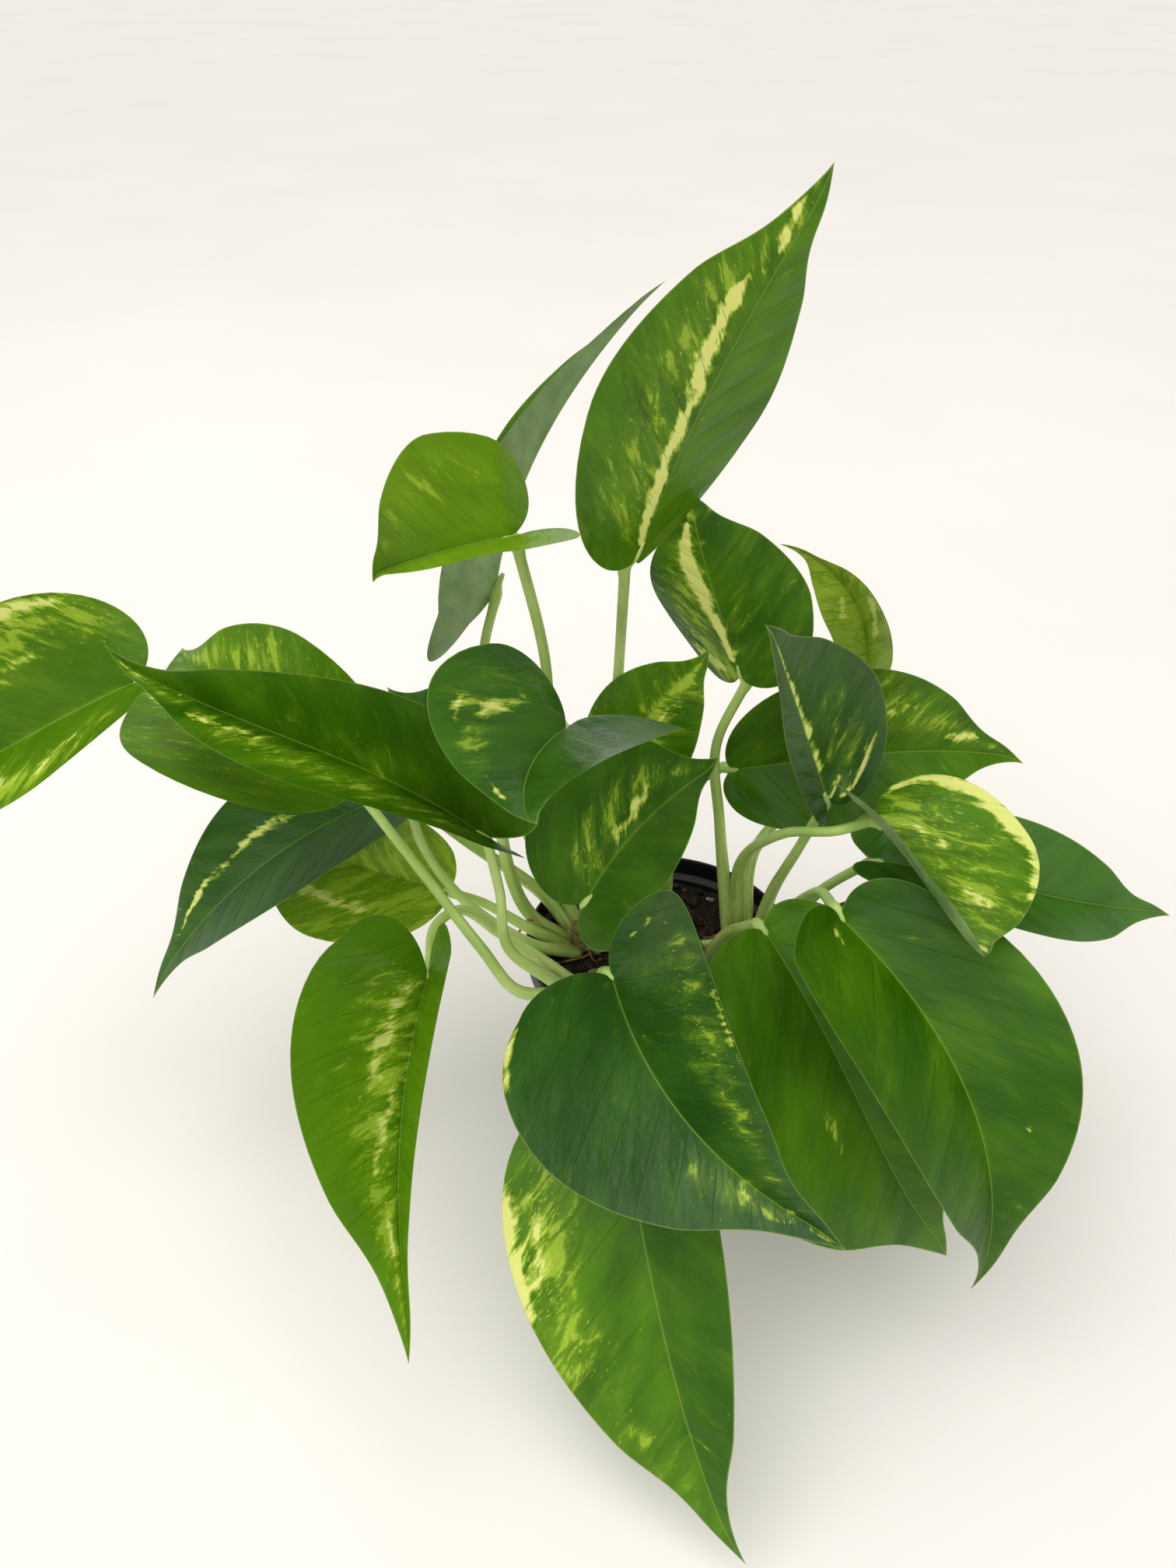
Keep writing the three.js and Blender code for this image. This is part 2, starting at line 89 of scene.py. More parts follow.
LEAVES = [
    dict(name="crown", tone="mid", at=[166, -40, 160], length=128, heading=-4, pitch=66,
         roll=147, fold=-6, left=42, right=30, arch=-3, curl=1, twist=-35, sway=-2, lobe=0.04, widest=0.37,
         stem="back", angle=140, via=[[117, -10, 50], [117, -15, 95]]),
    dict(name="back_tall", tone="mid", at=[138, 33, 124], length=133, heading=-23, pitch=61,
         roll=31, fold=38, left=15, right=34, arch=11, curl=2, twist=-7, sway=3, lobe=0.31, widest=0.23,
         stem="left", angle=165, over=172, via=[[171, 6, 22], [163, 13, 52], [143, 33, 95]]),
    dict(name="upper_left", tone="light", at=[178, 0, 169], length=62, heading=-128, pitch=8,
         roll=-28, fold=40, left=30, right=33, arch=-6, curl=2, twist=2, sway=6, lobe=0.27, widest=0.33,
         stem="centre", angle=140, via=[[147, -3, 58], [165, -8, 119]]),
    dict(name="upper_right", tone="mid", at=[29, -24, 111], length=68, heading=146, pitch=70,
         roll=-109, fold=-9, left=32, right=36, arch=-2, curl=0, twist=34, sway=-3, lobe=0.1, widest=0.37,
         stem="right", angle=150, via=[[41, -22, 41], [43, -26, 78]]),
    dict(name="young_curled", tone="light", at=[37, 50, 86], length=73, heading=-162, pitch=55,
         roll=215, fold=32, left=13, right=18, arch=-4, curl=1, twist=28, sway=9, lobe=0.08, widest=0.37,
         stem="right", angle=76, via=[[36, -5, 20], [40, 23, 34]]),
    dict(name="behind_centre", tone="mid", at=[124, -24, 71], length=55, heading=-3, pitch=54,
         roll=67, fold=13, left=19, right=24, arch=-1, curl=2, twist=-4, sway=-2, lobe=0.16, widest=0.28,
         stem="back", angle=210, via=[[119, -24, 30]]),
    dict(name="right_upright", tone="dark", at=[357, 6, 68], length=90, heading=-149, pitch=67,
         roll=-85, fold=6, left=12, right=32, arch=-4, curl=3, twist=8, sway=3, lobe=0.11, widest=0.28,
         stem="right", angle=38, via=[[15, -6, 14], [4, -1, 42]]),
    dict(name="right_drooping", tone="mid", at=[345, 23, 72], length=79, heading=-77, pitch=4,
         roll=-13, fold=30, left=40, right=24, arch=-3, curl=1, twist=-33, sway=-6, lobe=0.23, widest=0.28,
         stem="right", angle=113, via=[[24, -18, 26], [355, -9, 54], [341, 10, 68]]),
    dict(name="right_back", tone="mid", at=[46, -12, 60], length=114, heading=4, pitch=0,
         roll=78, fold=17, left=39, right=26, arch=9, curl=3, twist=-14, sway=-7, lobe=0.06, widest=0.32,
         stem="back", angle=20, via=[[77, -18, 44]]),
    dict(name="centre", tone="mid", at=[207, -20, 31], length=83, heading=-12, pitch=56,
         roll=57, fold=5, left=43, right=25, arch=-4, curl=1, twist=-20, sway=-7, lobe=0.2, widest=0.32,
         stem="left", angle=-30, via=[[186, -25, 8]]),
    dict(name="centre_left", tone="dark", at=[207, -13, 109], length=62, heading=-99, pitch=5,
         roll=-21, fold=23, left=41, right=41, arch=-2, curl=3, twist=35, sway=7, lobe=0.27, widest=0.21,
         stem="centre", angle=240, via=[[138, -9, 54], [150, -9, 84]]),
    dict(name="left_long", tone="mid", at=[199, 17, 69], length=140, heading=171, pitch=26,
         roll=-21, fold=48, left=31, right=29, arch=17, curl=4, twist=-35, sway=-3, lobe=0.16, widest=0.28,
         stem="front", angle=195, over=214, via=[[206, 11, 20], [203, 12, 44]]),
    dict(name="left_wide", tone="light", at=[183, 60, 79], length=95, heading=141, pitch=12,
         roll=-22, fold=33, left=50, right=33, arch=15, curl=4, twist=-4, sway=-6, lobe=0.12, widest=0.35,
         stem="front", angle=240, over=226, via=[[217, 14, 10], [209, 23, 28], [196, 36, 50]]),
    dict(name="far_left", tone="light", at=[170, 147, 96], length=110, heading=-159, pitch=-19,
         roll=-24, fold=34, left=36, right=44, arch=7, curl=3, twist=-35, sway=-4, lobe=0.14, widest=0.33,
         stem="left", angle=125, over=156, via=[[160, 28, 26], [163, 84, 66]]),
    dict(name="left_dark", tone="dark", at=[171, 50, 58], length=121, heading=-157, pitch=-33,
         roll=-4, fold=13, left=30, right=33, arch=12, curl=1, twist=-10, sway=3, lobe=0.12, widest=0.32,
         stem="left", angle=245, over=190, via=[[180, 22, 18], [174, 39, 38]]),
    dict(name="left_mottled", tone="light", at=[173, 32, 16], length=92, heading=154, pitch=4,
         roll=-42, fold=26, left=35, right=28, arch=10, curl=3, twist=-4, sway=-4, lobe=0.06, widest=0.35,
         stem="left", angle=205, over=180, via=[[175, 17, 13]]),
    dict(name="left_hanging", tone="mid", at=[207, 43, 20], length=129, heading=-87, pitch=-17,
         roll=5, fold=52, left=21, right=44, arch=18, curl=3, twist=11, sway=2, lobe=0.17, widest=0.22,
         stem="front", angle=150, over=198, via=[[192, 11, 15], [192, 24, 28], [197, 35, 28]]),
    dict(name="front_large", tone="dark", at=[254, 20, 45], length=111, heading=-53, pitch=-10,
         roll=31, fold=34, left=46, right=46, arch=12, curl=2, twist=20, sway=10, lobe=0.1, widest=0.2,
         stem="front", angle=290, via=[[245, 2, 28]]),
    dict(name="front_hanging", tone="mid", at=[260, 52, 20], length=141, heading=-68, pitch=-46,
         roll=32, fold=5, left=27, right=45, arch=10, curl=2, twist=23, sway=0, lobe=0.09, widest=0.26,
         stem="front", angle=340, over=285, via=[[260, 25, 13]]),
    dict(name="front_right", tone="mid", at=[317, -4, 32], length=137, heading=-41, pitch=-48,
         roll=22, fold=21, left=31, right=56, arch=27, curl=2, twist=20, sway=7, lobe=0.08, widest=0.29,
         stem="middle", angle=0, via=[[340, -26, 10]]),
    dict(name="right_large", tone="mid", at=[319, 24, 53], length=139, heading=-52, pitch=-55,
         roll=17, fold=28, left=39, right=38, arch=28, curl=0, twist=6, sway=-10, lobe=0.1, widest=0.23,
         stem="right", angle=-45, via=[[358, -5, 13], [340, 6, 40]]),
    dict(name="far_right", tone="dark", at=[356, 28, 43], length=116, heading=0, pitch=-12,
         roll=17, fold=23, left=25, right=27, arch=11, curl=3, twist=21, sway=8, lobe=0.15, widest=0.3,
         stem="right", angle=0, over=5, via=[[3, 10, 22]]),
    dict(name="right_low", tone="dark", at=[349, 11, 7], length=60, heading=-20, pitch=4,
         roll=14, fold=6, left=21, right=22, arch=4, curl=1, twist=0, sway=0, lobe=0.15, widest=0.3,
         stem="middle", angle=80, over=-8, via=[]),
    dict(name="left_back", tone="dark", at=[140, 26, 46], length=60, heading=-177, pitch=39,
         roll=-41, fold=10, left=22, right=24, arch=3, curl=2, twist=0, sway=0, lobe=0.15, widest=0.3,
         stem="left", angle=80, via=[[150, -1, 14], [144, 18, 32]]),
]

# How each blade is coloured. lime: how much of it is mottled. halves: shade of the left and right half, below zero
# darker. lime_at and cream_at: strokes of mottle and of cream, as (row, side, row, side, half width, strength), row 0
# at the petiole to 1 at the tip, side -1 at the left margin to 1 at the right.
LOOKS = {
    "crown": dict(lime=0.22, halves=(0.1, 0.2),
                  cream_at=[(0.22, -0.03, 0.56, -0.16, 0.075, 1.1), (0.56, -0.16, 0.72, -0.40, 0.10, 1.2),
                            (0.82, -0.25, 0.89, -0.80, 0.14, 0.85)],
                  lime_at=[(0.35, -0.35, 0.75, -0.60, 0.35, 0.32), (0.86, -0.2, 0.9, -0.8, 0.2, 0.4)]),
    "back_tall": dict(lime=0.2, halves=(0, 0)),
    "upper_left": dict(lime=0.15, halves=(0.25, 0.15), lime_at=[(0.4, 0.7, 0.7, 0.6, 0.25, 0.3)]),
    "upper_right": dict(lime=0.26, halves=(-0.05, -0.1),
                        cream_at=[(0.78, -0.45, 0.52, -0.18, 0.17, 1.15), (0.52, -0.12, 0.34, -0.05, 0.08, 0.95),
                                  (0.30, -0.75, 0.24, -0.45, 0.12, 0.9)],
                        lime_at=[(0.8, -0.4, 0.2, -0.5, 0.4, 0.4)]),
    "young_curled": dict(lime=0.8, halves=(0.9, 0.9),
                         cream_at=[(0.55, 0.75, 0.40, 0.35, 0.14, 0.95), (0.60, -0.3, 0.5, -0.5, 0.14, 0.8)]),
    "behind_centre": dict(lime=0.34, halves=(0.1, 0.0), lime_at=[(0.2, 0.1, 0.8, 0.2, 0.3, 0.5)],
                          cream_at=[(0.35, 0.08, 0.60, 0.25, 0.08, 0.8)]),
    "right_upright": dict(lime=0.12, halves=(-0.1, -0.1),
                          cream_at=[(0.40, 0.03, 0.85, 0.03, 0.05, 0.75), (0.18, 0.42, 0.34, 0.66, 0.12, 0.85),
                                    (0.16, 0.08, 0.36, 0.18, 0.07, 0.8)],
                          lime_at=[(0.2, 0.3, 0.5, 0.4, 0.3, 0.35)]),
    "right_drooping": dict(lime=0.30, halves=(0.0, -0.1),
                           cream_at=[(0.16, -0.88, 0.40, -0.95, 0.11, 1.1), (0.40, -0.97, 0.60, -0.97, 0.07, 0.8),
                                     (0.40, -0.25, 0.50, -0.50, 0.06, 0.7), (0.60, -0.3, 0.66, -0.6, 0.07, 0.72),
                                     (0.88, -0.2, 0.92, -0.7, 0.10, 0.7)],
                           lime_at=[(0.2, -0.3, 0.8, -0.5, 0.4, 0.3)]),
    "right_back": dict(lime=0.18, halves=(0.05, 0.0),
                       cream_at=[(0.74, -0.35, 0.80, -0.65, 0.09, 0.9), (0.56, -0.5, 0.62, -0.7, 0.06, 0.8)],
                       lime_at=[(0.55, -0.6, 0.85, -0.5, 0.3, 0.45)]),
    "centre": dict(lime=0.16, halves=(-0.15, -0.15), lime_at=[(0.4, -0.2, 0.8, -0.45, 0.25, 0.4)],
                   cream_at=[(0.5, -0.10, 0.66, -0.28, 0.08, 0.75)]),
    "centre_left": dict(lime=0.10, halves=(0.15, 0.2),
                        cream_at=[(0.40, 0.40, 0.46, 0.55, 0.08, 0.7), (0.50, 0.72, 0.52, 0.76, 0.07, 0.7),
                                  (0.74, 0.55, 0.78, 0.6, 0.08, 0.8)],
                        lime_at=[(0.4, 0.6, 0.6, 0.6, 0.25, 0.35)]),
    "left_long": dict(lime=0.16, halves=(-0.05, -0.05),
                      cream_at=[(0.66, -0.30, 0.74, -0.62, 0.10, 0.78), (0.80, -0.1, 0.94, -0.4, 0.10, 0.6)],
                      lime_at=[(0.3, -0.5, 0.9, -0.5, 0.35, 0.4), (0.5, 0.2, 0.6, 0.3, 0.2, 0.25)]),
    "left_wide": dict(lime=0.24, halves=(-0.25, -0.25), cream_at=[(0.62, -0.45, 0.70, -0.7, 0.12, 0.8)],
                      lime_at=[(0.5, 0.7, 0.9, 0.4, 0.3, 0.4), (0.5, -0.7, 0.9, -0.4, 0.3, 0.3)]),
    "far_left": dict(lime=0.20, halves=(-0.3, -0.3),
                     cream_at=[(0.34, 0.92, 0.62, 0.92, 0.10, 0.85), (0.56, -0.6, 0.74, -0.85, 0.13, 0.85),
                               (0.40, -0.55, 0.44, -0.7, 0.08, 0.75), (0.40, 0.55, 0.5, 0.6, 0.06, 0.6)],
                     lime_at=[(0.3, 0.8, 0.7, 0.8, 0.3, 0.45), (0.4, -0.7, 0.8, -0.7, 0.3, 0.45)]),
    "left_dark": dict(lime=0.06, halves=(-0.05, 0.0),
                      cream_at=[(0.44, 0.36, 0.78, 0.58, 0.06, 0.85)]),
    "left_mottled": dict(lime=0.62, halves=(0.3, 0.3), cream_at=[(0.4, -0.5, 0.6, -0.6, 0.12, 0.75)]),
    "left_hanging": dict(lime=0.18, halves=(0.55, 0.5),
                         cream_at=[(0.38, 0.15, 0.54, 0.33, 0.10, 0.78), (0.58, 0.12, 0.68, 0.32, 0.09, 0.75),
                                   (0.76, 0.2, 0.88, 0.3, 0.10, 0.65)],
                         lime_at=[(0.35, 0.2, 0.9, 0.3, 0.35, 0.5)]),
    "front_large": dict(lime=0.12, halves=(-0.15, -0.15),
                        cream_at=[(0.50, -0.96, 0.62, -0.94, 0.05, 0.5), (0.24, -0.50, 0.30, -0.66, 0.06, 0.5),
                                  (0.78, 0.22, 0.84, 0.5, 0.09, 0.42), (0.86, -0.1, 0.93, 0.4, 0.09, 0.45),
                                  (0.30, 0.97, 0.38, 0.97, 0.05, 0.8)],
                        lime_at=[(0.45, -0.75, 0.75, -0.6, 0.25, 0.35), (0.75, 0.3, 0.9, 0.2, 0.3, 0.35)]),
    "front_hanging": dict(lime=0.16, halves=(-0.15, 0.1),
                          cream_at=[(0.35, 0.98, 0.46, 0.98, 0.10, 1.05), (0.38, 0.74, 0.46, 0.85, 0.10, 0.68)],
                          lime_at=[(0.3, 0.6, 0.55, 0.8, 0.3, 0.5), (0.6, 0.8, 0.85, 0.6, 0.25, 0.25)]),
    "front_right": dict(lime=0.10, halves=(0.08, 0.05), cream_at=[(0.54, 0.25, 0.58, 0.30, 0.05, 0.8)]),
    "right_large": dict(lime=0.14, halves=(-0.15, -0.15),
                        cream_at=[(0.20, 0.16, 0.34, 0.26, 0.06, 0.8), (0.62, -0.5, 0.64, -0.55, 0.04, 0.6)]),
    "far_right": dict(lime=0.05, halves=(0.35, 0.3)),
    "right_low": dict(lime=0.2, halves=(0.1, 0.1)),
    "left_back": dict(lime=0.15, halves=(0.0, 0.0)),
}


def srgb(r, g, b):
    """A colour of 0 to 255 sRGB as the linear colour that a shader takes."""
    part = [c / 255 for c in (r, g, b)]
    return tuple(c / 12.92 if c <= 0.04045 else ((c + 0.055) / 1.055) ** 2.4 for c in part) + (1.0,)


# ---------------------------------------------------------------- materials

class Shader:
    """A node material under construction. Sockets are passed around as values."""

    def __init__(self, name, **fixed):
        self.material = bpy.data.materials.new(name)
        self.material.use_nodes = True
        self.tree = self.material.node_tree
        self.out = self.tree.nodes["Principled BSDF"]
        for key, value in fixed.items():
            self.out.inputs[key.replace("_", " ")].default_value = value

    def node(self, kind, *values, **settings):
        made = self.tree.nodes.new(kind)
        for key, value in settings.items():
            setattr(made, key, value)
        for index, value in enumerate(values):
            self.put(made.inputs[index], value)
        return made

    def put(self, socket, value):
        if isinstance(value, bpy.types.NodeSocket):
            self.tree.links.new(value, socket)
        elif value is not None:
            socket.default_value = value

    def attribute(self, name, vector=False):
        made = self.node("ShaderNodeAttribute", attribute_name=name)
        return made.outputs["Vector" if vector else "Fac"]

    def math(self, operation, a, b=0.0, clamp=False):
        return self.node("ShaderNodeMath", a, b, operation=operation, use_clamp=clamp).outputs[0]

    def ramp(self, value, low, high):
        """0 at low to 1 at high, smoothed."""
        made = self.node("ShaderNodeMapRange", value, low, high, 0.0, 1.0, interpolation_type="SMOOTHSTEP")
        return made.outputs[0]

    def stretch(self, vector, scale):
        return self.node("ShaderNodeVectorMath", vector, scale, operation="MULTIPLY").outputs[0]

    def noise(self, vector, scale, detail=4.0, rough=0.55, distortion=0.0):
        made = self.node("ShaderNodeTexNoise")
        self.put(made.inputs["Vector"], vector)
        made.inputs["Scale"].default_value = scale
        made.inputs["Detail"].default_value = detail
        made.inputs["Roughness"].default_value = rough
        made.inputs["Distortion"].default_value = distortion
        return made.outputs[0]

    def place(self):
        return self.node("ShaderNodeTexCoord").outputs["Object"]

    def mix(self, share, a, b):
        made = self.node("ShaderNodeMix", data_type="RGBA")
        for index, value in ((0, share), (6, a), (7, b)):
            self.put(made.inputs[index], value)
        return made.outputs[2]

    def finish(self, color=None, roughness=None, height=None, bump=0.3, depth=0.0004):
        if color is not None:
            self.put(self.out.inputs["Base Color"], color)
        if roughness is not None:
            self.put(self.out.inputs["Roughness"], roughness)
        if height is not None:
            made = self.node("ShaderNodeBump")
            made.inputs["Strength"].default_value = bump
            made.inputs["Distance"].default_value = depth
            self.put(made.inputs["Height"], height)
            self.put(self.out.inputs["Normal"], made.outputs[0])
        return self.material


def veins(s):
    """Masks of the lateral veins and of the midrib."""
    beat = s.math("FRACT", s.attribute("lateral"))
    off = s.math("ABSOLUTE", s.math("SUBTRACT", beat, 0.5))
    lateral = s.math("MULTIPLY", s.ramp(off, 0.035, 0.0), s.attribute("veined"))
    midrib = s.ramp(s.attribute("rib"), 0.55, 0.12)
    return lateral, midrib


def leaf_material(name, deep, bright, gloss):
    s = Shader(name, Specular_IOR_Level=gloss)
    flow = s.attribute("flow", vector=True)
    lime = s.attribute("lime")
    cloud = s.noise(flow, 0.45, 3.0)
    streak = s.noise(s.stretch(flow, (0.6, 1.2, 1.0)), 1.4, 8.0, 0.64, 0.5)
    fleck = s.noise(s.stretch(flow, (0.8, 1.3, 1.0)), 6.0, 5.0, 0.62)
    shade = s.math("ADD", s.attribute("shade"), s.math("MULTIPLY", cloud, 1.2))
    color = s.mix(s.ramp(shade, 0.2, 1.2), deep, bright)
    wash = s.ramp(s.math("ADD", streak, s.math("MULTIPLY", lime, 0.45)), 0.60, 0.92)
    amount = s.math("ADD", s.math("MULTIPLY", lime, 0.5), 0.25, clamp=True)
    color = s.mix(s.math("MULTIPLY", wash, amount), color, srgb(130, 166, 30))
    mottle = s.ramp(s.math("ADD", streak, s.math("MULTIPLY", lime, 0.40)), 0.75, 0.81)
    color = s.mix(s.math("MULTIPLY", mottle, amount), color, srgb(164, 190, 54))
    specks = s.ramp(s.math("ADD", fleck, s.math("MULTIPLY", lime, 0.25)), 0.73, 0.78)
    color = s.mix(s.math("MULTIPLY", specks, 0.5), color, srgb(176, 198, 72))
    ragged = s.math("ADD", streak, s.math("MULTIPLY", fleck, 0.35))
    ragged = s.math("MULTIPLY", s.math("SUBTRACT", ragged, 0.675), 2.0)
    patch = s.math("ADD", s.attribute("cream"), ragged)
    color = s.mix(s.math("MULTIPLY", s.ramp(patch, 0.38, 0.56), 0.6), color, srgb(168, 194, 58))
    color = s.mix(s.ramp(patch, 0.55, 0.76), color, srgb(216, 220, 122))
    lateral, midrib = veins(s)
    color = s.mix(s.math("MULTIPLY", lateral, 0.3), color, deep)
    color = s.mix(s.math("MULTIPLY", midrib, 0.35), color, srgb(136, 168, 60))
    margin = s.ramp(s.attribute("inset"), 0.45, 0.12)
    color = s.mix(s.math("MULTIPLY", margin, 0.3), color, srgb(166, 186, 90))
    grain = s.noise(s.stretch(flow, (2.0, 14.0, 1.0)), 3.0, 3.0)
    quilt = s.noise(s.stretch(flow, (1.0, 1.6, 1.0)), 1.9, 2.0, 0.4)
    height = s.math("ADD", s.math("MULTIPLY", grain, 0.12), s.math("MULTIPLY", fleck, 0.15))
    height = s.math("ADD", height, s.math("MULTIPLY", quilt, 0.9))
    height = s.math("SUBTRACT", height, s.math("MULTIPLY", lateral, 0.35))
    height = s.math("SUBTRACT", height, s.math("MULTIPLY", midrib, 0.45))
    rough = s.math("ADD", s.math("MULTIPLY", cloud, 0.22), 0.24)
    return s.finish(color, rough, height, 0.45, 0.001)


def underside_material():
    s = Shader("leaf_underside", Specular_IOR_Level=0.25)
    flow = s.attribute("flow", vector=True)
    cloud = s.noise(flow, 0.8, 4.0)
    streak = s.noise(s.stretch(flow, (0.30, 1.5, 1.0)), 2.2, 5.0)
    color = s.mix(s.ramp(cloud, 0.3, 0.7), srgb(116, 150, 88), srgb(146, 176, 112))
    color = s.mix(s.ramp(s.math("ADD", streak, s.math("MULTIPLY", s.attribute("cream"), 0.4)), 0.6, 0.9),
                  color, srgb(182, 196, 128))
    lateral, midrib = veins(s)
    color = s.mix(s.math("MULTIPLY", lateral, 0.35), color, srgb(164, 188, 132))
    color = s.mix(s.math("MULTIPLY", midrib, 0.7), color, srgb(172, 194, 124))
    height = s.math("ADD", s.math("MULTIPLY", lateral, 0.8), s.math("MULTIPLY", streak, 0.3))
    return s.finish(color, 0.52, height, 0.4, 0.0005)


def petiole_material():
    s = Shader("petiole_skin", Specular_IOR_Level=0.35)
    place = s.place()
    flow = s.attribute("flow", vector=True)
    tint = s.noise(place, 28.0, 3.0)
    color = s.mix(s.ramp(tint, 0.35, 0.7), srgb(160, 192, 90), srgb(198, 219, 130))
    line = s.noise(s.stretch(flow, (9.0, 0.35, 1.0)), 2.0, 4.0)
    color = s.mix(s.math("MULTIPLY", s.ramp(line, 0.52, 0.66), 0.5), color, srgb(204, 218, 150))
    color = s.mix(s.math("MULTIPLY", s.ramp(line, 0.46, 0.34), 0.45), color, srgb(118, 148, 62))
    dry = s.math("MULTIPLY", s.attribute("dry"), s.ramp(s.noise(flow, 2.4, 4.0), 0.30, 0.62))
    color = s.mix(dry, color, srgb(138, 104, 62))
    return s.finish(color, 0.42, line, 0.35, 0.0004)


def stem_material():
    s = Shader("stem_bark", Specular_IOR_Level=0.3)
    place = s.place()
    blotch = s.noise(place, 160.0, 4.0)
    fibre = s.noise(s.stretch(place, (1.0, 1.0, 0.2)), 900.0, 3.0)
    color = s.mix(s.ramp(blotch, 0.38, 0.62), srgb(146, 160, 92), srgb(126, 112, 66))
    color = s.mix(s.math("MULTIPLY", s.ramp(fibre, 0.5, 0.62), 0.5), color, srgb(178, 164, 118))
    color = s.mix(s.attribute("dry"), color, srgb(104, 78, 48))
    return s.finish(color, 0.7, fibre, 0.5, 0.0006)


def soil_material():
    s = Shader("potting_soil", Specular_IOR_Level=0.2)
    place = s.place()
    crumb = s.noise(place, 420.0, 6.0, 0.7)
    patch = s.noise(place, 60.0, 3.0)
    color = s.mix(s.ramp(patch, 0.35, 0.65), srgb(24, 20, 17), srgb(50, 41, 33))
    color = s.mix(s.ramp(crumb, 0.55, 0.68), color, srgb(86, 66, 46))
    color = s.mix(s.ramp(crumb, 0.70, 0.74), color, srgb(172, 156, 130))
    return s.finish(color, 0.95, crumb, 1.0, 0.0012)


def crumb_material(name, dark, light, roughness):
    s = Shader(name, Specular_IOR_Level=0.25)
    place = s.place()
    tint = s.noise(place, 300.0, 5.0)
    color = s.mix(s.ramp(tint, 0.4, 0.62), dark, light)
    return s.finish(color, roughness, s.noise(place, 1500.0, 4.0), 0.7, 0.0004)


def pot_material():
    s = Shader("black_plastic", Specular_IOR_Level=0.3)
    place = s.place()
    cloud = s.noise(place, 18.0, 4.0)
    grain = s.noise(place, 2600.0, 3.0)
    scuff = s.noise(s.stretch(place, (1.0, 1.0, 0.15)), 240.0, 6.0, 0.7)
    dust = s.ramp(scuff, 0.62, 0.80)
    color = s.mix(s.ramp(cloud, 0.35, 0.7), srgb(20, 20, 21), srgb(31, 31, 32))
    color = s.mix(s.math("MULTIPLY", dust, 0.5), color, srgb(74, 68, 60))
    rough = s.math("ADD", s.math("MULTIPLY", scuff, 0.3), 0.30)
    return s.finish(color, rough, grain, 0.18, 0.0003)


def floor_material():
    s = Shader("pale_floor", Specular_IOR_Level=0.3, Roughness=0.6)
    tint = s.noise(s.place(), 3.0, 2.0)
    color = s.mix(s.ramp(tint, 0.2, 0.8), srgb(242, 238, 231), srgb(246, 242, 236))
    return s.finish(color, None, None)


# ---------------------------------------------------------------- meshes

def link(name, data, location=(0, 0, 0), rotation=(0, 0, 0)):
    made = bpy.data.objects.new(name, data)
    made.location = location
    made.rotation_euler = rotation
    bpy.context.scene.collection.objects.link(made)
    return made


def make_object(name, points, faces, materials, attributes=None, faces_of=None, sharp=None):
    """A smooth mesh object, from points in metres. faces_of: each face's material. sharp: edges left crisp."""
    mesh = bpy.data.meshes.new(name)
    mesh.from_pydata([tuple(map(float, p)) for p in points], [], faces)
    for material in materials:
        mesh.materials.append(material)
    if faces_of is not None:
        mesh.polygons.foreach_set("material_index", faces_of)
    mesh.polygons.foreach_set("use_smooth", [True] * len(mesh.polygons))
    for key, values in (attributes or {}).items():
        values = np.asarray(values, dtype=np.float32)
        kind = "FLOAT_VECTOR" if values.ndim == 2 else "FLOAT"
        layer = mesh.attributes.new(key, kind, "POINT")
        layer.data.foreach_set("vector" if values.ndim == 2 else "value", values.ravel())
    if sharp:
        marked = mesh.attributes.new("sharp_edge", "BOOLEAN", "EDGE")
        marked.data.foreach_set("value", [tuple(sorted(e.vertices)) in sharp for e in mesh.edges])
    mesh.validate()
    mesh.update()
    made = link(name, mesh)
    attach(made, "root")
    return made


def from_rim(place):
    bearing, out, z = place
    turn = math.radians(bearing)
    radius = RIM_RADIUS + out
    return np.array([radius * math.cos(turn), radius * math.sin(turn), POT_HEIGHT + z])


def unit(v):
    return v / np.linalg.norm(v)


def blade_frame(leaf, u):
    """Directions along, across and out of the blade's upper face, at each share u of its length."""
    heading, pitch = math.radians(leaf["heading"]), math.radians(leaf["pitch"])
    along = np.array([math.cos(pitch) * math.cos(heading), math.cos(pitch) * math.sin(heading), math.sin(pitch)])
    up = unit(np.array([0.0, 0.0, 1.0]) - along * along[2])
    turn = np.radians(leaf["roll"] + leaf["twist"] * np.asarray(u, dtype=float))[..., None]
    face = up * np.cos(turn) + np.cross(along, up) * np.sin(turn)
    return along, np.cross(along, face), face


def bezier(a, b, c, d, t):
    return a * (1 - t) ** 3 + 3 * b * t * (1 - t) ** 2 + 3 * c * t * t * (1 - t) + d * t ** 3


def margin_points(leaf, row):
    """The margin's place along and its share of the half width, at each row."""
    lobe, widest = leaf["lobe"], leaf["widest"]
    back = np.clip(row / LOBE_SHARE, 0, 1)
    ahead = np.clip((row - LOBE_SHARE) / (1 - LOBE_SHARE), 0, 1)
    behind = row < LOBE_SHARE
    u = np.where(behind, bezier(0, -LOBE_HOOK * lobe, -lobe, widest, back),
                 bezier(widest, SHOULDER, TIP_TAPER, 1, ahead))
    v = np.where(behind, bezier(0, SINUS_OPENING, 1, 1, back), bezier(1, 1, TIP_WIDTH, 0, ahead))
    return u, v


# The places of a blade's vertices from midrib to margin, and its rows from petiole to tip.
REACHES = (0, 0.02, 0.06, 0.13, 0.22, 0.32, 0.43, 0.54, 0.65, 0.75, 0.84, 0.91, 0.96, 0.988, 1)
BLADE_ROWS = 66

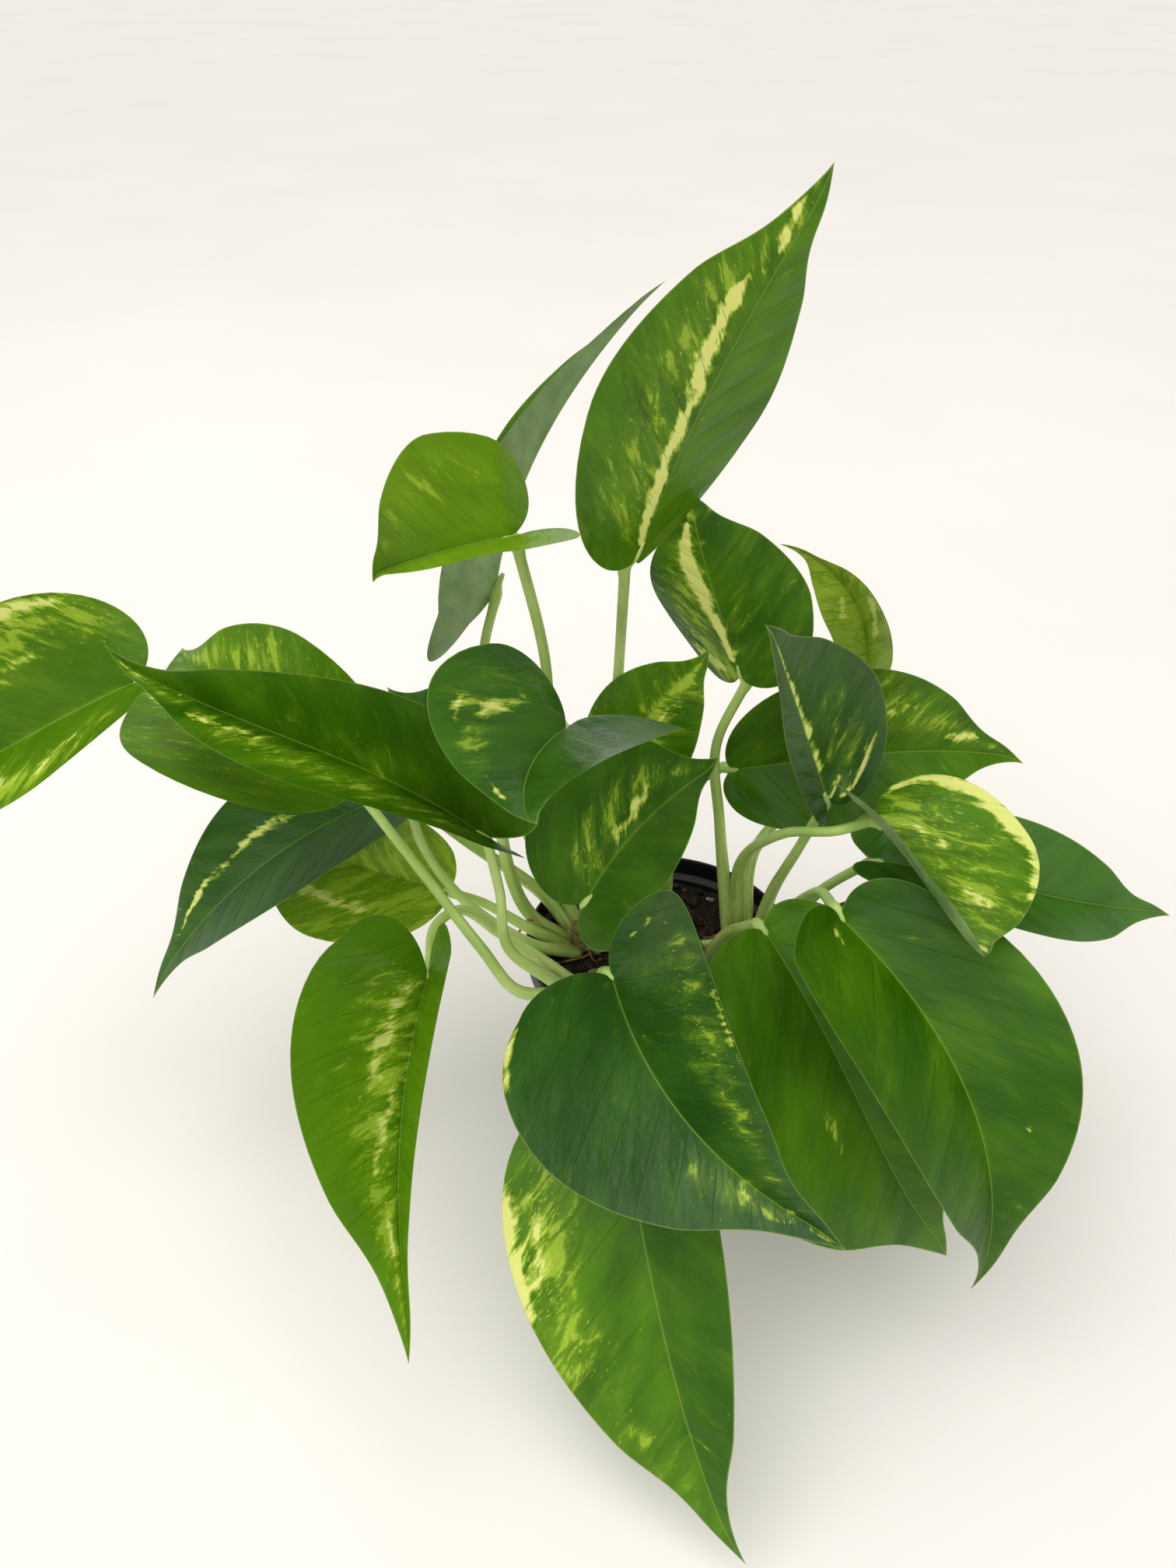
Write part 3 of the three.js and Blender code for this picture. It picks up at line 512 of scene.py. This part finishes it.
# What a blade has beyond its CAD shape, in millimetres: a swell between each two of its lateral veins, a groove over
# the midrib and a keel under it, a wavy margin, and a tip that narrows from a share of the length and ends in a hook.
VEIN_PAIRS = 9
VEIN_PHASE = 40.3
SWELL = 0.42
GROOVE = 0.6
KEEL = 1.5
WAVE = 1.1
HOOK = 2.2
SKIN = 0.62
TIP_START, TIP_SPAN, TIP_NARROWING = 0.70, 0.30, 0.25


def strokes(row, side, marks, ratio):
    """The strongest of some soft strokes at each point. ratio is the blade's length over its half width."""
    total = np.zeros_like(row)
    for row_a, side_a, row_b, side_b, reach, strength in marks:
        start = np.array([row_a * ratio, side_a])
        run = np.array([row_b * ratio, side_b]) - start
        at = np.stack([row * ratio, side], axis=-1) - start
        along = np.clip(at @ run / max(run @ run, 1e-9), 0, 1)
        off = np.linalg.norm(at - along[..., None] * run, axis=-1)
        total = np.maximum(total, strength * np.exp(-((off / reach) ** 2)))
    return total


def make_leaf(leaf, index, upper, under):
    chance = random.Random(100 + index)
    sides = np.array([-r for r in reversed(REACHES[1:])] + list(REACHES))
    rows = 0.5 - 0.5 * np.cos(np.pi * np.linspace(0, 1, BLADE_ROWS + 1) ** 0.9)
    rows = 0.6 * rows + 0.4 * np.linspace(0, 1, BLADE_ROWS + 1)
    row, side = np.meshgrid(rows, sides, indexing="ij")
    margin_u, margin_v = margin_points(leaf, row)
    # the tip is drawn out: its margins are hollow
    margin_v = margin_v * (1 - TIP_NARROWING * np.sin(np.pi * np.clip((margin_u - TIP_START) / TIP_SPAN, 0, 1)) ** 2)
    reach = np.abs(side)
    sweep = VEIN_SWEEP * np.minimum(1, row / LOBE_SHARE)
    start = np.maximum(margin_u - sweep * margin_v, (leaf["widest"] - VEIN_SWEEP) * row)
    u = start + (margin_u - start) * reach
    v = margin_v * reach
    half = np.where(side < 0, leaf["left"], leaf["right"])
    w = v * half
    bow = 4 * np.maximum(u, 0) * (1 - u)
    fold = math.radians(leaf["fold"])
    rise = w * math.sin(fold) + bow * leaf["arch"] + v * v * leaf["curl"]
    # the soft swell between lateral veins, the groove over the midrib and the margin's slow wave
    ahead = u * leaf["length"] - 0.8 * w
    lateral = ahead / (leaf["length"] / VEIN_PAIRS) + VEIN_PHASE + 0.5 * (side > 0)
    swell = np.cos(2 * np.pi * (lateral - 0.5)) * SWELL * (1 - reach ** 4) * np.clip(w / 7, 0, 1)
    groove = GROOVE * np.exp(-((w / 1.8) ** 2)) * (1 - row)
    phase = chance.random()
    wave = WAVE * reach ** 2 * np.sin(2 * np.pi * (chance.uniform(1.4, 2.4) * row + phase + 0.3 * (side > 0)))
    wave = wave * np.minimum(1, 4 * (1 - row)) * np.minimum(1, 6 * row)
    hook = chance.choice((-1, 1)) * HOOK * np.clip((u - 0.88) / 0.12, 0, 1) ** 2
    relief = -swell - groove + wave
    along, across, face = blade_frame(leaf, u)
    origin = from_rim(leaf["at"])
    base = origin + along * (u * leaf["length"])[..., None]
    base = base + across * (np.sign(side) * w * math.cos(fold) + bow * leaf["sway"] + hook)[..., None]
    base = base + face * (rise + relief)[..., None]
    thick = SKIN * (1 - reach ** 8) * (1 - (2 * row - 1) ** 10)
    keel = KEEL * np.exp(-((w / 1.5) ** 2)) * (1 - row) ** 1.2 * np.minimum(1, row * 30)
    top = base + face * (thick / 2)[..., None]
    bottom = base - face * (thick / 2 + keel)[..., None]
    height, width = row.shape

    # one vertex where the rows close at the petiole and at the tip, and one margin for both faces
    ids = np.zeros((2, height, width), dtype=int)
    points, source = [], []

    def vertex(level, i, j):
        points.append((top, bottom)[level][i, j])
        source.append((i, j))
        return len(points) - 1

    middle = width // 2
    ends = {0: vertex(0, 0, middle), height - 1: vertex(0, height - 1, middle)}
    for i in range(height):
        for j in range(width):
            if i in ends:
                ids[:, i, j] = ends[i]
            elif j in (0, width - 1):
                ids[:, i, j] = vertex(0, i, j)
            else:
                ids[0, i, j] = vertex(0, i, j)
                ids[1, i, j] = vertex(1, i, j)
    faces, kinds = [], []
    for level in (0, 1):
        for i in range(height - 1):
            for j in range(width - 1):
                ring = [ids[level, i, j], ids[level, i, j + 1], ids[level, i + 1, j + 1], ids[level, i + 1, j]]
                if level:
                    ring.reverse()
                corners = [int(c) for n, c in enumerate(ring) if c != ring[n - 1]]
                if len(corners) > 2:
                    faces.append(corners)
                    kinds.append(level)
    sharp = set()
    for j in (0, width - 1):
        line = [int(k) for k in ids[0, :, j]]
        sharp.update(tuple(sorted(pair)) for pair in zip(line, line[1:]))

    look = LOOKS[leaf["name"]]
    ratio = 2 * leaf["length"] / (leaf["left"] + leaf["right"])
    lime = look["lime"] + strokes(row, side, look.get("lime_at", ()), ratio)
    cream = strokes(row, side, look.get("cream_at", ()), ratio)
    shade = np.where(side < 0, look["halves"][0], look["halves"][1]) * np.minimum(1, reach * 12)
    flow = np.stack([np.sign(side) * w * 0.1, ahead * 0.1, np.full_like(row, 3.7 * index)], axis=-1)
    fields = {"lime": lime, "cream": cream, "shade": shade, "rib": w, "inset": (margin_v - v) * half,
              "lateral": lateral, "flow": flow, "veined": np.clip(w / 5, 0, 1) * (1 - reach ** 6)}
    i, j = np.array(source).T
    attributes = {key: values[i, j] for key, values in fields.items()}
    piece = make_object(leaf["name"] + "_blade", np.array(points) * MM, faces, [upper, under],
                        attributes, kinds, sharp)
    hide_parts("leaf_" + leaf["name"])


def curve_through(points, count):
    """Evenly spaced points on a centripetal Catmull-Rom curve."""
    points = [np.asarray(p, dtype=float) for p in points]
    dense = []
    for n in range(len(points) - 1):
        p1, p2 = points[n], points[n + 1]
        p0 = points[n - 1] if n else 2 * p1 - p2
        p3 = points[n + 2] if n + 2 < len(points) else 2 * p2 - p1
        d0, d1, d2 = (max(np.linalg.norm(b - a), 1e-6) ** 0.5 for a, b in ((p0, p1), (p1, p2), (p2, p3)))
        t1 = ((p1 - p0) / d0 - (p2 - p0) / (d0 + d1) + (p2 - p1) / d1) * d1
        t2 = ((p2 - p1) / d1 - (p3 - p1) / (d1 + d2) + (p3 - p2) / d2) * d1
        for t in np.linspace(0, 1, 40, endpoint=n == len(points) - 2):
            dense.append(p1 + t1 * t + (3 * p2 - 3 * p1 - 2 * t1 - t2) * t ** 2
                         + (2 * p1 - 2 * p2 + t1 + t2) * t ** 3)
    dense = np.array(dense)
    run = np.r_[0, np.cumsum(np.linalg.norm(np.diff(dense, axis=0), axis=1))]
    at = np.linspace(0, run[-1], count)
    return np.stack([np.interp(at, run, dense[:, k]) for k in range(3)], axis=1), run[-1]


def tube(path, radius_at, sides):
    """Rings of points round a path. radius_at(share, angle) gives each radius. Returns points, faces, share, angle."""
    count = len(path)
    tangent = np.gradient(path, axis=0)
    tangent /= np.linalg.norm(tangent, axis=1)[:, None]
    side = np.cross(tangent[0], np.array([0.0, 0.0, 1.0]))
    if np.linalg.norm(side) < 0.1:
        side = np.cross(tangent[0], np.array([1.0, 0.0, 0.0]))
    side = unit(side)
    points, shares, angles = [], [], []
    for n in range(count):
        side = unit(side - tangent[n] * np.dot(side, tangent[n]))
        top = np.cross(side, tangent[n])
        share = n / (count - 1)
        for k in range(sides):
            angle = 2 * math.pi * k / sides
            radius = radius_at(share, angle)
            points.append(path[n] + radius * (math.cos(angle) * top + math.sin(angle) * side))
            shares.append(share)
            angles.append(angle)
    faces = []
    for n in range(count - 1):
        for k in range(sides):
            a, b = n * sides + k, n * sides + (k + 1) % sides
            faces.append([a, b, b + sides, a + sides])
    faces.append(list(range(sides))[::-1])
    faces.append([(count - 1) * sides + k for k in range(sides)])
    return points, faces, np.array(shares), np.array(angles)


def outward(points, faces):
    """The faces, turned over if they face inwards."""
    points = np.array(points)
    volume = 0.0
    for face in faces:
        a = points[face[0]]
        for b, c in zip(face[1:], face[2:]):
            volume += np.dot(a, np.cross(points[b], points[c]))
    return faces if volume > 0 else [face[::-1] for face in faces]


def stem_foot(stem):
    return from_rim((stem["bearing"], stem["out"], JOINT_CLEARANCE - SOIL_DEPTH_BELOW_RIM))


# Where the sheath's two wings stand on a petiole, in radians from its channel.
WING_ANGLE = 0.75


def make_petiole(leaf, index, material):
    chance = random.Random(500 + index)
    foot = stem_foot(STEMS[leaf["stem"]])
    turn = math.radians(leaf["angle"])
    centre = foot
    foot = centre + np.array([FOOT_RING * math.cos(turn), FOOT_RING * math.sin(turn), PETIOLE_DIAMETER / 2])
    along, _, face = blade_frame(leaf, 0.0)
    join = from_rim(leaf["at"])
    end = join - face * (PETIOLE_DIAMETER / 2 + BLADE_THICKNESS / 2 + JOINT_CLEARANCE) - along * BLADE_SETBACK
    points = [foot]
    if "over" in leaf:
        points.append(from_rim((leaf["over"], -POT_WALL, RIM_PASS + PETIOLE_DIAMETER / 2)))
    points += [from_rim(p) for p in leaf["via"]] + [end]
    path, run = curve_through(points, count=70)
    # the knee: the last stretch turns up into the midrib
    knee = [end, join - face * 1.5 + along * 0.5, join - face * 1.1 + along * 0.05 * leaf["length"]]
    extra, _ = curve_through([path[-4]] + knee, count=14)
    path = np.vstack([path[:-4], extra])
    # the foot leans in to its stem
    path = np.vstack([foot + (centre - foot) * 0.45 + np.array([0, 0, -1.8]), path])
    sheath = chance.uniform(0.30, 0.45)

    # stout at the foot and swollen at the knee, with a channel on top and the sheath's wings beside it
    def radius_at(share, angle):
        body = 2.6 - 0.7 * min(1, share * 1.6)
        body += 0.45 * math.exp(-((share - 0.90) / 0.035) ** 2)
        body *= 1 - 0.55 * max(0, (share - 0.94) / 0.06)
        channel = -0.28 * math.exp(-(angle if angle < math.pi else 2 * math.pi - angle) ** 2 / 0.18)
        off = min(abs(angle - WING_ANGLE), abs(angle - 2 * math.pi + WING_ANGLE))
        wing = 1.0 * math.exp(-(off / 0.22) ** 2) * max(0.0, 1 - share / sheath) ** 0.7
        return body + channel + wing

    ring, faces, shares, angles = tube(path, radius_at, sides=20)
    faces = outward(ring, faces)
    wing = np.exp(-(np.minimum(np.abs(angles - WING_ANGLE), np.abs(angles - 2 * math.pi + WING_ANGLE)) / 0.3) ** 2)
    dry = wing * np.clip(1.2 - shares / sheath, 0, 1) + np.clip(1 - shares * 22, 0, 1)
    flow = np.stack([np.cos(angles), shares * run * 0.1, np.sin(angles) + 5.1 * index], axis=-1)
    piece = make_object(leaf["name"] + "_stalk", np.array(ring) * MM, faces, [material],
                        {"dry": np.clip(dry * 0.65, 0, 1), "flow": flow})
    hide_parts("petiole_" + leaf["name"])


def make_stem(name, stem, material):
    chance = random.Random(name)
    foot = stem_foot(stem) - np.array([0, 0, 2.5])
    top = stem_foot(stem) + np.array([stem["leanX"], stem["leanY"], STEM_HEIGHT])
    path, _ = curve_through([foot, (foot + top) / 2 + np.array([0.4, -0.3, 0]), top], count=30)
    rings = sorted(chance.uniform(0.2, 0.85) for _ in range(2))
    twist = chance.uniform(0, 6)

    # slightly oval, with two leaf scars and a worn top
    def radius_at(share, angle):
        body = STEM_DIAMETER / 2 * (0.86 + 0.05 * math.cos(2 * angle + twist))
        for at in rings:
            body += 0.55 * math.exp(-((share - at - 0.03 * math.cos(angle)) / 0.035) ** 2)
        return body * (1 - 0.5 * max(0, (share - 0.93) / 0.07) ** 2)

    ring, faces, shares, _ = tube(path, radius_at, sides=24)
    faces = outward(ring, faces)
    dry = sum(np.exp(-((shares - at) / 0.05) ** 2) for at in rings) + np.clip((shares - 0.9) * 12, 0, 1)
    piece = make_object("vine_" + name, np.array(ring) * MM, faces, [material],
                        {"dry": np.clip(dry * 0.8, 0, 1)})
    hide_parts("stem_" + name)


def revolve(profile, sides):
    """A closed body from an outline of [radius, z] that starts and ends on the axis."""
    points, faces, rows = [], [], []
    for radius, z in profile:
        if radius < 1e-6:
            points.append((0.0, 0.0, z))
            rows.append([len(points) - 1] * sides)
            continue
        rows.append([])
        for k in range(sides):
            turn = 2 * math.pi * k / sides
            points.append((radius * math.cos(turn), radius * math.sin(turn), z))
            rows[-1].append(len(points) - 1)
    for low, high in zip(rows, rows[1:]):
        for k in range(sides):
            ring = [low[k], low[(k + 1) % sides], high[(k + 1) % sides], high[k]]
            corners = [c for n, c in enumerate(ring) if c != ring[n - 1]]
            if len(corners) > 2:
                faces.append(corners)
    return points, outward(points, faces)


def wall_radius(z):
    return BASE_RADIUS + (RIM_RADIUS - RIM_STEP - BASE_RADIUS) * z / POT_HEIGHT


def make_pot(material):
    band = POT_HEIGHT - RIM_BAND
    lip = RIM_RADIUS
    profile = [
        (0, 1.2), (BASE_RADIUS - 5, 1.2), (BASE_RADIUS - 4.2, 0.2), (BASE_RADIUS - 3.8, 0),
        (BASE_RADIUS - 1.0, 0), (BASE_RADIUS - 0.3, 0.3), (BASE_RADIUS, 1.0),
    ]
    profile += [(wall_radius(z), z) for z in np.linspace(4, band - 1.2, 12)]
    profile += [
        (wall_radius(band) + 0.1, band - 0.5), (lip - 1.1, band - 0.2), (lip - 0.6, band + 0.1),
        (lip - 0.45, band + 0.7), (lip - 0.25, POT_HEIGHT - 2.6), (lip, POT_HEIGHT - 1.9),
        (lip + 0.05, POT_HEIGHT - 1.0), (lip - 0.2, POT_HEIGHT - 0.35), (lip - 0.75, POT_HEIGHT),
        (lip - 1.3, POT_HEIGHT - 0.3), (lip - 1.55, POT_HEIGHT - 1.0), (lip - 1.7, POT_HEIGHT - 3),
        (lip - 2.0, band + 1.6), (wall_radius(band) - 1.3, band + 0.2),
    ]
    profile += [(wall_radius(z) - POT_WALL, z) for z in np.linspace(band - 1, 4, 12)]
    profile += [(wall_radius(3) - POT_WALL - 0.8, 2.9), (wall_radius(3) - 4, 2.7), (0, 2.7)]
    points, faces = revolve(profile, sides=128)
    pot = make_object("nursery_pot", np.array(points) * MM, faces, [material])
    for hole in range(DRAIN_HOLES):
        turn = hole * 2 * math.pi / DRAIN_HOLES
        radius = DRAIN_DIAMETER / 2
        drill_points, drill_faces = revolve([(0, -3), (radius, -3), (radius, 6), (0, 6)], sides=24)
        mesh = bpy.data.meshes.new("drill")
        shift = (DRAIN_RING_RADIUS * math.cos(turn), DRAIN_RING_RADIUS * math.sin(turn), 0)
        mesh.from_pydata([tuple((p[k] + shift[k]) * MM for k in range(3)) for p in drill_points], [], drill_faces)
        drill = link("drill", mesh)
        cut = pot.modifiers.new("hole", "BOOLEAN")
        cut.operation = "DIFFERENCE"
        cut.object = drill
        cut.solver = "EXACT"
        bpy.context.view_layer.update()
        result = bpy.data.meshes.new_from_object(pot.evaluated_get(bpy.context.evaluated_depsgraph_get()))
        pot.modifiers.clear()
        pot.data = result
        bpy.data.objects.remove(drill)
    edges = bmesh.new()
    edges.from_mesh(pot.data)
    for edge in edges.edges:
        edge.smooth = not (len(edge.link_faces) == 2 and edge.calc_face_angle() > 0.7)
    edges.to_mesh(pot.data)
    edges.free()
    pot.data.name = "nursery_pot"
    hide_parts("pot")


def ground(x, y):
    """Height of the soil's surface in millimetres: lumpy, gritty, and banked up towards the pot's wall."""
    rough = noise.fractal(Vector((x * 0.09, y * 0.09, 4.0)), 1.0, 2.0, 3)
    grit = noise.fractal(Vector((x * 0.42, y * 0.42, 9.0)), 0.8, 2.1, 4)
    bank = min(1.0, max(0.0, (math.hypot(x, y) - 24) / 20)) ** 2
    return SOIL_TOP - 1.2 + 1.6 * rough + 1.2 * grit + 3.2 * bank


def make_soil(material):
    lo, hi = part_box("soil")
    radius, bottom = hi[0] * 1000, lo[2] * 1000
    rings, sides = 64, 150
    points, faces = [(0.0, 0.0, ground(0, 0))], []
    for ring in range(1, rings + 1):
        r = radius * ring / rings
        for k in range(sides):
            turn = 2 * math.pi * (k + 0.5 * (ring % 2)) / sides
            x, y = r * math.cos(turn), r * math.sin(turn)
            points.append((x, y, ground(x, y)))
    for z in (SOIL_TOP - 8, bottom + 20, bottom):
        r = wall_radius(z) - POT_WALL - SOIL_CLEARANCE
        for k in range(sides):
            turn = 2 * math.pi * k / sides
            points.append((r * math.cos(turn), r * math.sin(turn), z))
    for k in range(sides):
        faces.append([0, 1 + k, 1 + (k + 1) % sides])
    for ring in range(rings + 2):
        for k in range(sides):
            a, b = 1 + ring * sides + k, 1 + ring * sides + (k + 1) % sides
            faces.append([a, a + sides, b + sides, b])
    last = 1 + (rings + 2) * sides
    faces.append([last + k for k in range(sides)][::-1])
    soil = make_object("soil_bed", np.array(points) * MM, outward(points, faces), [material])
    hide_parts("soil")


# How far from the pot's axis the loose lumps and the dry roots lie, and how flat and how sunk the lumps are.
LUMPS_WITHIN = 44.5
ROOTS_WITHIN = 43
LUMP_FLATNESS = 0.75
LUMP_SINK = 0.35
DRY_ROOTS = 14


def make_lumps(name, count, small, large, material, seed):
    """Many irregular crumbs that lie on the soil, as one mesh."""
    chance = random.Random(seed)
    seed_ball = bmesh.new()
    bmesh.ops.create_icosphere(seed_ball, subdivisions=2, radius=1.0)
    ball = [np.array(v.co) for v in seed_ball.verts]
    ball_faces = [[v.index for v in f.verts] for f in seed_ball.faces]
    seed_ball.free()
    points, faces = [], []
    for n in range(count):
        r = LUMPS_WITHIN * math.sqrt(chance.random())
        turn = chance.uniform(0, 2 * math.pi)
        x, y = r * math.cos(turn), r * math.sin(turn)
        size = chance.uniform(small, large)
        spin = Matrix.Rotation(chance.uniform(0, 6.3), 3, "Z") @ Matrix.Rotation(chance.uniform(-0.5, 0.5), 3, "X")
        sizes = (size * chance.uniform(0.7, 1.5), size, size * LUMP_FLATNESS * chance.uniform(0.7, 1.1))
        start = len(points)
        for p in ball:
            wobble = 1 + 0.35 * noise.noise(Vector(p * 1.6) + Vector((n * 3.1, 0, 0)))
            q = spin @ Vector([p[k] * sizes[k] * wobble for k in range(3)])
            points.append((x + q.x, y + q.y, ground(x, y) + sizes[2] * (1 - 2 * LUMP_SINK) + q.z))
        faces += [[start + i for i in f] for f in ball_faces]
    make_object(name, np.array(points) * MM, faces, [material])


def make_root(name, points, radius, material, seed):
    path, _ = curve_through(points, count=12 * len(points))

    def radius_at(share, angle):
        knot = noise.noise(Vector((share * 14, seed, 0.0)))
        return radius * (1 + 0.25 * knot) * (1 - 0.45 * share)

    ring, faces, _, _ = tube(path, radius_at, sides=10)
    make_object(name, np.array(ring) * MM, outward(ring, faces), [material])


def make_roots(material):
    make_root("root_over_rim", [(-41, 9, 79.5), (-46, 7, 92), (-51.5, 4, 97.5), (-55.3, 1, 93), (-55.2, -1.5, 85)],
              0.75, material, 30)
    chance = random.Random(77)
    for n in range(DRY_ROOTS):
        turn = chance.uniform(0, 2 * math.pi)
        r = chance.uniform(8, 34)
        x, y = r * math.cos(turn), r * math.sin(turn)
        heading = chance.uniform(0, 2 * math.pi)
        reach = chance.uniform(9, 22)
        points = []
        for k in range(5):
            share = k / 4
            px = x + reach * (share - 0.5) * math.cos(heading + 0.9 * share)
            py = y + reach * (share - 0.5) * math.sin(heading + 0.9 * share)
            if math.hypot(px, py) > ROOTS_WITHIN:
                px, py = px * 0.8, py * 0.8
            lift = chance.uniform(1.2, 4.0) * math.sin(math.pi * share)
            points.append((px, py, ground(px, py) - 0.6 + lift))
        make_root(f"root_{n + 1}", points, chance.uniform(0.45, 0.85), material, n)


# ---------------------------------------------------------------- build

green = {
    "light": leaf_material("leaf_light", srgb(70, 112, 2), srgb(116, 156, 22), 0.16),
    "mid": leaf_material("leaf_mid", srgb(42, 84, 0), srgb(86, 132, 8), 0.16),
    "dark": leaf_material("leaf_dark", srgb(30, 70, 6), srgb(62, 110, 16), 0.32),
}
under = underside_material()
stalk = petiole_material()
bark = stem_material()
root_skin = crumb_material("dry_root", srgb(92, 66, 40), srgb(150, 116, 74), 0.8)

make_pot(pot_material())
make_soil(soil_material())
crumb = crumb_material("bark_crumb", srgb(22, 18, 15), srgb(62, 48, 37), 0.95)
make_lumps("soil_crumbs", count=300, small=0.8, large=2.6, material=crumb, seed=5)
grit = crumb_material("pale_grit", srgb(120, 110, 96), srgb(206, 200, 186), 0.9)
make_lumps("soil_grit", count=120, small=0.4, large=1.1, material=grit, seed=6)
make_roots(root_skin)
for name, stem in STEMS.items():
    make_stem(name, stem, bark)
for index, leaf in enumerate(LEAVES):
    make_leaf(leaf, index, green[leaf["tone"]], under)
    make_petiole(leaf, index, stalk)

# ---------------------------------------------------------------- floor, light, camera

FLOOR = 12.0  # half its width, in metres
floor_mesh = bpy.data.meshes.new("floor")
corners = [(x * FLOOR, y * FLOOR, 0) for x, y in ((-1, -1), (1, -1), (1, 1), (-1, 1))]
floor_mesh.from_pydata(corners, [], [(0, 1, 2, 3)])
floor_mesh.materials.append(floor_material())
floor = link("floor", floor_mesh)

# a disc of light over the plant's back left, and a wide soft sky from the front
softbox = bpy.data.lights.new("key", "AREA")
softbox.shape = "DISK"
softbox.size = 1.2
softbox.energy = 5
above = Vector((-0.5, 0.2, 1.5))
link("key", softbox, above, (Vector((0, 0, 0.15)) - above).to_track_quat("-Z", "Y").to_euler())
ceiling = bpy.data.lights.new("ceiling", "SUN")
ceiling.energy = 2.05
ceiling.angle = math.radians(80)
link("ceiling", ceiling, rotation=(math.radians(28), math.radians(-12), 0))

# a pale room, bright at the horizon and dimmer overhead
world = bpy.data.worlds.new("studio")
world.use_nodes = True
sky, links = world.node_tree.nodes, world.node_tree.links
sky["Background"].inputs["Color"].default_value = (1.0, 0.985, 0.96, 1.0)
height = sky.new("ShaderNodeSeparateXYZ")
links.new(sky.new("ShaderNodeTexCoord").outputs["Generated"], height.inputs[0])
dim = sky.new("ShaderNodeMapRange")
dim.interpolation_type = "SMOOTHSTEP"
for key, value in {"From Min": 0.05, "From Max": 0.6, "To Min": 0.95, "To Max": 0.38}.items():
    dim.inputs[key].default_value = value
links.new(height.outputs["Z"], dim.inputs["Value"])
links.new(dim.outputs["Result"], sky["Background"].inputs["Strength"])
bpy.context.scene.world = world
bpy.context.scene.view_settings.view_transform = "Standard"

# the photo's camera
lens = bpy.data.cameras.new("camera")
lens.sensor_width = 36
lens.lens = 29.286
bpy.context.scene.camera = link("camera", lens, (-0.028, -0.376, 0.429), (math.radians(55), 0, 0))
